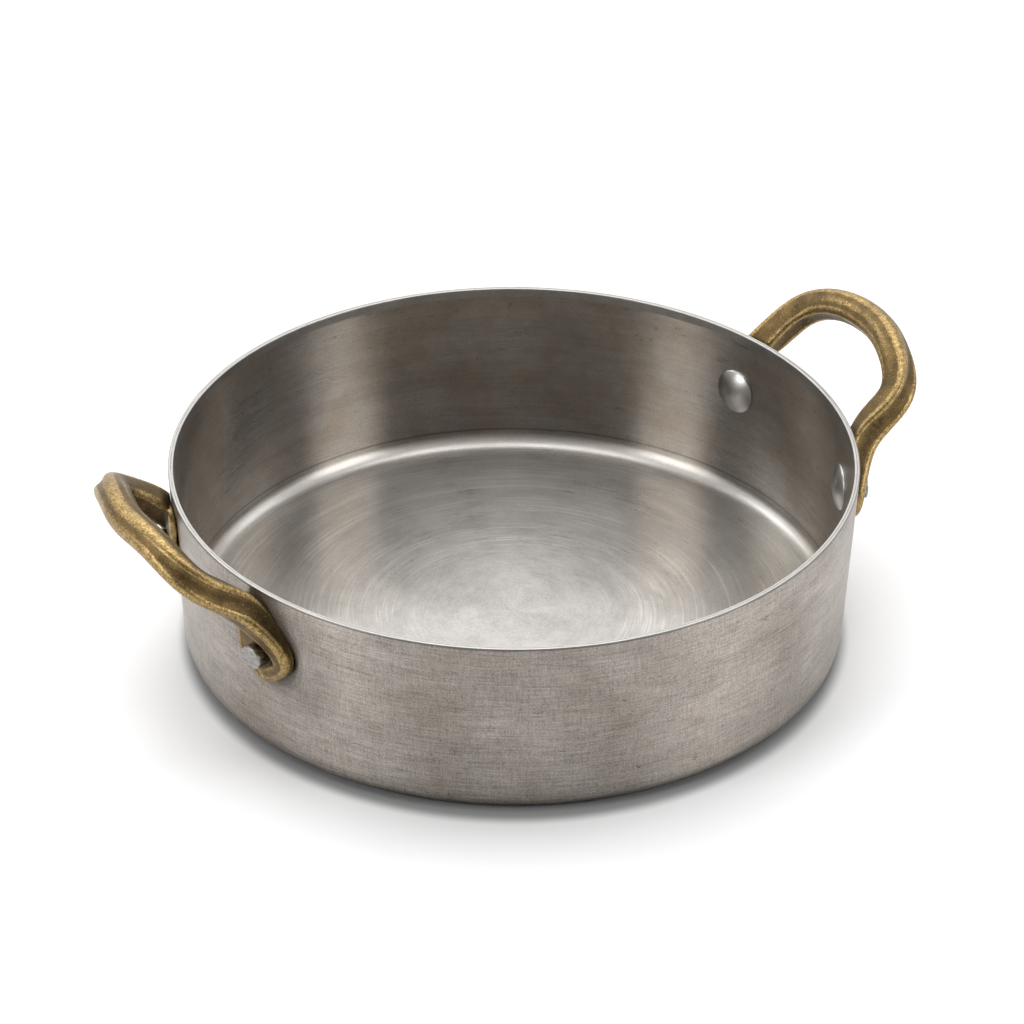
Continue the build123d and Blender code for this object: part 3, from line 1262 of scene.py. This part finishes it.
@dataclass
class CastHandle:
    """A loop handle cast in one with its two lugs."""

    row: RivetRow
    side: Side
    grip_reach: float = 21.9
    grip_rise: float = 32.5
    grip_straight: float = 14.0
    knuckle_drop: float = 1.0
    knuckle_draw: float = 2.1
    shoulder_reach: float = 13.8
    shoulder_rise: float = 24.6
    shoulder_inset: float = 4.4
    root_across: float = -2.6
    root_up: float = 13.8
    root_lift: float = 0.1
    hook_radius: float = 7.6
    hook_sink: float = 0.6
    hook_side_angle: float = -10.0
    hook_end_angle: float = -96.0
    grip_tilt: float = 40.0
    grip: Section = Section(9.4, 8.8, 1.0, 3.6, 2.6, 4.0, 3.8, back_crown=0.45)
    knuckle: Section = Section(8.8, 8.5, 1.0, 3.3, 2.2, 3.6, 3.4, back_crown=0.4)
    shoulder: Section = Section(8.4, 8.4, 0.8, 1.3, 1.3, 1.9, 2.6, 0.7, 0.3, 0.3)
    root: Section = Section(8.2, 8.8, 0.2, 0.8, 1.0, 1.9, 2.0, 0.7, 0.2, 0.1)
    hook: Section = Section(6.4, 3.7, 0.0, 0.9, 0.9, 2.0, 2.6)
    hook_end: Section = Section(5.6, 2.9, 0.0, 0.8, 0.8, 1.4, 2.0)
    pad_thickness: float = 2.0
    pad_radius: float = 9.6
    pad_tip_radius: float = 4.2
    pad_tip: Pair = (-6.4, 11.4)
    seat_gap: float = 0.1
    slices: int = 220
    blend_reach: float = 0.045
    blend_places: int = 9
    edge_steps: int = 8
    face_steps: int = 6
    pad_steps: tuple[int, int] = (14, 44)
    pad_shares: tuple[float, ...] = (0.15, 0.35, 0.55, 0.75, 0.9, 1.0)
    voxel: float = 0.34
    soften_share: float = 0.5
    soften_rounds: int = 5
    rim_clearance: float = 0.5
    wear_rounds: int = 40
    wear_share: float = 0.6
    wear_depth: float = 0.16
    bar_reach: float = 1.7
    opening_start: float = 0.5
    opening_run: float = 0.4

    def lug_point(self, across: float, up: float, out: float) -> np.ndarray:
        """Point beside the rear rivet.

        Args:
            across: Distance away from the grip's middle.
            up: Distance up the wall.
            out: Distance out from the wall.

        Returns:
            The point.
        """
        z = self.row.height + up
        turn = self.row.angle + across / self.row.radius
        radius = self.row.wall.radius(z) + out
        return np.array([radius * math.cos(turn), radius * math.sin(turn), z])

    def stations(self) -> tuple[np.ndarray, list[Section]]:
        """Every station of the bar, from the front lug over the crest to the rear lug.

        Returns:
            Their middles and their sections.
        """
        row = self.row
        crest_x, crest_z = row.radius + self.grip_reach, row.height + self.grip_rise
        knuckle_x, knuckle_z = crest_x - self.knuckle_draw, crest_z - self.knuckle_drop
        shoulder_x, shoulder_z = row.radius + self.shoulder_reach, row.height + self.shoulder_rise
        middles = [
            np.array([crest_x, 0.0, crest_z]),
            np.array([knuckle_x, self.grip_straight, knuckle_z]),
            np.array([shoulder_x, row.pitch / 2 - self.shoulder_inset, shoulder_z]),
            self.lug_point(self.root_across, self.root_up, self.root.depth / 2 + self.root_lift),
        ]
        hooks = ((self.hook_side_angle, self.hook), (self.hook_end_angle, self.hook_end))
        for angle, hook in hooks:
            across, up = arc((0.0, 0.0), self.hook_radius, angle, angle, 1)[0]
            middles.append(self.lug_point(across, up, hook.depth / 2 - self.hook_sink))
        sections = [self.grip, self.knuckle, self.shoulder, self.root, self.hook, self.hook_end]
        far_half = [middle * np.array([1.0, -1.0, 1.0]) for middle in middles[:0:-1]]
        return np.array(far_half + middles), sections[:0:-1] + sections

    def bar(self) -> tuple[Skin, list[BarSlice]]:
        """Skin of the bar.

        Returns:
            The skin, and the slices that it is stretched over.
        """
        middles, sections = self.stations()
        line = Curve3(middles)
        numbers = np.array([astuple(section) for section in sections])
        blend = np.linspace(-self.blend_reach, self.blend_reach, self.blend_places)
        tilt = math.radians(self.grip_tilt)
        crest_front = np.array([math.sin(tilt), 0.0, -math.cos(tilt)])
        slices, rings = [], []
        for t in np.linspace(0.0, 1.0, self.slices):
            middle, along = line.at(float(t))
            section = Section(
                *(float(np.interp(t + blend, line.knots, column).mean()) for column in numbers.T)
            )
            on_wall = self.row.wall.normal(math.atan2(middle[1], middle[0]))
            front = crest_front * section.crest_share + on_wall * (1 - section.crest_share)
            aside = np.cross(front, along)
            aside /= np.linalg.norm(aside)
            front = np.cross(along, aside)
            slices.append(BarSlice(middle, aside, front, section))
            outline = section.outline(self.edge_steps, self.face_steps)
            rings.append([middle + aside * a + front * b for a, b in outline])
        return Skin.over(rings), slices

    def pad_outline(self, seat: Seat) -> list[Pair]:
        """Outline of a lug's pad: a disc with a narrow tip towards the bar.

        Args:
            seat: Which rivet it is at.

        Returns:
            Points across and up the wall from the rivet.
        """
        tip_x, tip_y = seat.value * self.pad_tip[0], self.pad_tip[1]
        span = math.hypot(tip_x, tip_y)
        lie = math.degrees(math.atan2(tip_y, tip_x))
        open_half = math.degrees(math.acos((self.pad_radius - self.pad_tip_radius) / span))
        tip_steps, disc_steps = self.pad_steps
        tip = arc((tip_x, tip_y), self.pad_tip_radius, lie - open_half, lie + open_half, tip_steps)
        disc_end = lie + 360.0 - open_half
        return tip + arc((0.0, 0.0), self.pad_radius, lie + open_half, disc_end, disc_steps)

    def pad(self, seat: Seat) -> Skin:
        """Skin of a lug's pad, curved to the wall.

        Args:
            seat: Which rivet it is at.

        Returns:
            The skin.
        """
        wall, row = self.row.wall, self.row
        layers = [(share, self.seat_gap) for share in self.pad_shares]
        layers += [(share, self.pad_thickness) for share in reversed(self.pad_shares)]
        rings = []
        for share, out in layers:
            ring = []
            for across, up in self.pad_outline(seat):
                z = row.height + up * share * math.cos(wall.lean)
                radius = wall.radius(z) + out
                turn = seat.value * row.angle + math.asin(across * share / radius)
                ring.append(np.array([radius * math.cos(turn), radius * math.sin(turn), z]))
            rings.append(ring)
        return Skin.over(rings)

    def cast(self, skin: Skin) -> bpy.types.Mesh:
        """Joins overlapping skins into one, as a casting with soft inner corners.

        Args:
            skin: The skins, taken into one.

        Returns:
            One closed mesh.
        """
        rough = bpy.data.meshes.new("handle_skins")
        rough.from_pydata([tuple(point * MM) for point in skin.points], [], skin.faces)
        holder = add_object("handle_skins", rough)
        remesh = holder.modifiers.new("cast", "REMESH")
        remesh.mode = "VOXEL"
        remesh.voxel_size = self.voxel * MM
        remesh.use_smooth_shade = True
        soften = holder.modifiers.new("soften", "SMOOTH")
        soften.factor = self.soften_share
        soften.iterations = self.soften_rounds
        graph = bpy.context.evaluated_depsgraph_get()
        made = bpy.data.meshes.new_from_object(holder.evaluated_get(graph))
        bpy.data.objects.remove(holder)
        bpy.data.meshes.remove(rough)
        return made

    def clear_wall(self, mesh: bpy.types.Mesh) -> None:
        """Moves any point that is nearer to the wall than the seat gap out to that gap.

        Args:
            mesh: The handle's mesh, still on the right side.
        """
        wall = self.row.wall
        for vertex in mesh.vertices:
            x, y, z = vertex.co / MM
            radius = math.hypot(x, y)
            least = wall.radius(min(z, wall.height)) + self.seat_gap
            if z < wall.height + self.rim_clearance and radius < least:
                vertex.co.x *= least / radius
                vertex.co.y *= least / radius

    def mark_wear(self, mesh: bpy.types.Mesh, slices: Sequence[BarSlice]) -> None:
        """Stores on the mesh where hands and polishing reach, for the finish to read.

        Args:
            mesh: The handle's mesh, still on the right side.
            slices: The bar's slices.
        """
        count = len(mesh.vertices)
        places, normals = np.empty(count * 3), np.empty(count * 3)
        mesh.vertices.foreach_get("co", places)
        mesh.vertices.foreach_get("normal", normals)
        places, normals = places.reshape(-1, 3) / MM, normals.reshape(-1, 3)
        ends = np.empty(len(mesh.edges) * 2, dtype=np.int64)
        mesh.edges.foreach_get("vertices", ends)
        near, far = ends.reshape(-1, 2).T
        joined = np.bincount(ends, minlength=count)[:, None]
        worn = places.copy()
        for _ in range(self.wear_rounds):
            total = np.zeros_like(worn)
            np.add.at(total, near, worn[far])
            np.add.at(total, far, worn[near])
            worn = worn * (1 - self.wear_share) + total / joined * self.wear_share
        proud = np.clip(((places - worn) * normals).sum(axis=1) / self.wear_depth, -1.0, 1.0)
        tree = KDTree(len(slices))
        for index, bar_slice in enumerate(slices):
            tree.insert(Vector(bar_slice.middle), index)
        tree.balance()
        opening = np.zeros(count)
        for index, place in enumerate(places):
            a, b = slices[tree.find(place)[1]].shares(place)
            if math.hypot(a, b) < self.bar_reach:
                opening[index] = np.clip((-a - self.opening_start) / self.opening_run, 0.0, 1.0)
        for wear_map, values in ((WearMap.PROUD, proud), (WearMap.OPENING, opening)):
            stored = mesh.attributes.new(wear_map.value, "FLOAT", "POINT")
            stored.data.foreach_set("value", values)

    def build(self) -> bpy.types.Object:
        """Makes and dresses the handle.

        Returns:
            The piece.
        """
        skin, slices = self.bar()
        for seat in Seat:
            skin.add(self.pad(seat))
        mesh = self.cast(skin)
        self.clear_wall(mesh)
        self.mark_wear(mesh, slices)
        mesh.transform(Matrix.Rotation(math.radians(self.side.value), 4, "Z"))
        node = f"{self.side.name.lower()}_handle"
        mesh.name = f"{node}_casting"
        mesh.materials.clear()
        mesh.materials.append(CastBrass("cast_brass").material())
        return add_piece(mesh, node)


@dataclass(frozen=True)
class PhotoCamera:
    """The camera at the photograph's angle."""

    away: float = 1.3121
    target_height: float = 0.0008
    elevation: float = 33.639
    handle_turn: float = 27.463
    yaw: float = 0.023
    pitch: float = 1.342
    roll: float = -0.228
    focal_pixels: float = 4430.9
    image_pixels: float = 1024.0
    sensor: float = 36.0
    clip: Pair = (0.05, 20.0)

    def place(self) -> bpy.types.Object:
        """Adds the camera and makes it the scene's.

        Returns:
            The camera.
        """
        lift = math.radians(self.elevation)
        seat = Vector((0.0, -math.cos(lift), math.sin(lift))) * self.away
        ahead = Vector((0.0, math.cos(lift), -math.sin(lift)))
        right = Vector((1.0, 0.0, 0.0))
        axes = Matrix((right, right.cross(ahead), -ahead)).transposed()
        for index, angle in ((1, self.yaw), (0, self.pitch), (2, -self.roll)):
            axes = Matrix.Rotation(math.radians(angle), 3, axes.col[index]) @ axes
        spin = Matrix.Rotation(-math.radians(self.handle_turn), 3, "Z")
        data = bpy.data.cameras.new("photo_camera")
        data.sensor_fit = "HORIZONTAL"
        data.sensor_width = self.sensor
        data.lens = self.focal_pixels / self.image_pixels * self.sensor
        data.clip_start, data.clip_end = self.clip
        camera = add_object("photo_camera", data)
        seat = spin @ seat + Vector((0.0, 0.0, self.target_height))
        camera.matrix_world = Matrix.Translation(seat) @ (spin @ axes).to_4x4()
        bpy.context.scene.camera = camera
        return camera


@dataclass(frozen=True)
class SoftLight:
    """A large square softbox aimed at the dish.

    Its turn is in degrees from the camera's side towards the picture's right, its lift in degrees
    above the table, its distance and width in metres and its power in watts.
    """

    name: str
    turn: float
    lift: float
    away: float
    width: float
    power: float
    colour: Colour = (1.0, 1.0, 1.0)

    def place(self) -> None:
        """Adds the light."""
        turn, lift = math.radians(self.turn - PhotoCamera.handle_turn), math.radians(self.lift)
        level = math.cos(lift)
        seat = Vector((math.sin(turn) * level, -math.cos(turn) * level, math.sin(lift)))
        data = bpy.data.lights.new(self.name, "AREA")
        data.shape = "SQUARE"
        data.size = self.width
        data.energy = self.power
        data.color = self.colour
        light = add_object(self.name, data)
        light.location = seat * self.away
        light.rotation_euler = seat.to_track_quat("Z", "Y").to_euler()


@dataclass(frozen=True)
class Studio:
    """Pale floor, soft light and the room's grey surround."""

    floor_size: float = 4.0
    floor_drop: float = 0.0003
    floor_rows: int = 8
    behind: float = 0.85
    front: float = 0.18
    front_to_behind: Pair = (-0.45, 0.35)
    lights: tuple[SoftLight, ...] = (
        SoftLight("overhead", 180.0, 82.0, 1.1, 0.9, 7.0),
        SoftLight("back_box", -172.0, 40.0, 2.0, 1.5, 11.2),
        SoftLight("left_box", -60.0, 24.0, 1.5, 0.6, 9.0),
        SoftLight("right_box", 64.0, 24.0, 1.5, 0.6, 7.6),
        SoftLight("left_back", -118.0, 34.0, 1.6, 0.7, 4.6, (0.95, 0.98, 1.0)),
        SoftLight("right_back", 116.0, 34.0, 1.6, 0.7, 3.2, (0.95, 0.98, 1.0)),
    )

    def floor(self) -> None:
        """Adds the floor, a wide sheet with a few rows of faces."""
        rows, row = range(self.floor_rows), self.floor_rows + 1
        places = np.linspace(-self.floor_size / 2, self.floor_size / 2, row)
        points = [(float(x), float(y), -self.floor_drop) for y in places for x in places]
        firsts = [i * row + j for i in rows for j in rows]
        faces = [(first, first + 1, first + row + 1, first + row) for first in firsts]
        mesh = bpy.data.meshes.new("studio_floor")
        mesh.from_pydata(points, [], faces)
        mesh.materials.append(PaleFloor("pale_floor").material())
        add_object("studio_floor", mesh)

    def surround(self) -> None:
        """Makes the room: pale behind and above the dish, darker on the camera's side."""
        world = bpy.data.worlds.new("studio_room")
        world.use_nodes = True
        bpy.context.scene.world = world
        bench = Bench(world.node_tree)
        way = bench.node("ShaderNodeTexCoord", {}, {}, out="Generated")
        turn = math.radians(PhotoCamera.handle_turn)
        back = (math.sin(turn), math.cos(turn), 0.0)
        depth = bench.vector_math("DOT_PRODUCT", {0: way, 1: back}, out="Value")
        level = self.front + (self.behind - self.front) * depth.ramp(*self.front_to_behind)
        shade = bench.tint((1.0, 1.0, 1.0), level)
        glow = bench.node("ShaderNodeBackground", {}, {"Color": shade, "Strength": 1.0})
        bench.node("ShaderNodeOutputWorld", {}, {"Surface": glow})

    def build(self) -> None:
        """Adds the floor, the room and the lights, and plain display colours."""
        self.floor()
        self.surround()
        for light in self.lights:
            light.place()
            log.info("light %s", light.name)
        view = bpy.context.scene.view_settings
        view.view_transform = "Standard"
        view.look = "None"


def corners(bounds: tuple[Vector, Vector]) -> list[list[float]]:
    """Lowest and highest corner as plain lists."""
    return [list(corner) for corner in bounds]


def main() -> None:
    """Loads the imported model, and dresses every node."""
    logging.basicConfig(level=logging.INFO, format="%(name)s %(message)s")
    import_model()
    PhotoCamera().place()
    Studio().build()
    wall = Wall()
    row = RivetRow(wall)
    DrawnPan(wall).build()
    for side in Side:
        CastHandle(row, side).build()
        for seat in Seat:
            SolidRivet(row, side, seat).build()


if __name__ == "__main__":
    main()
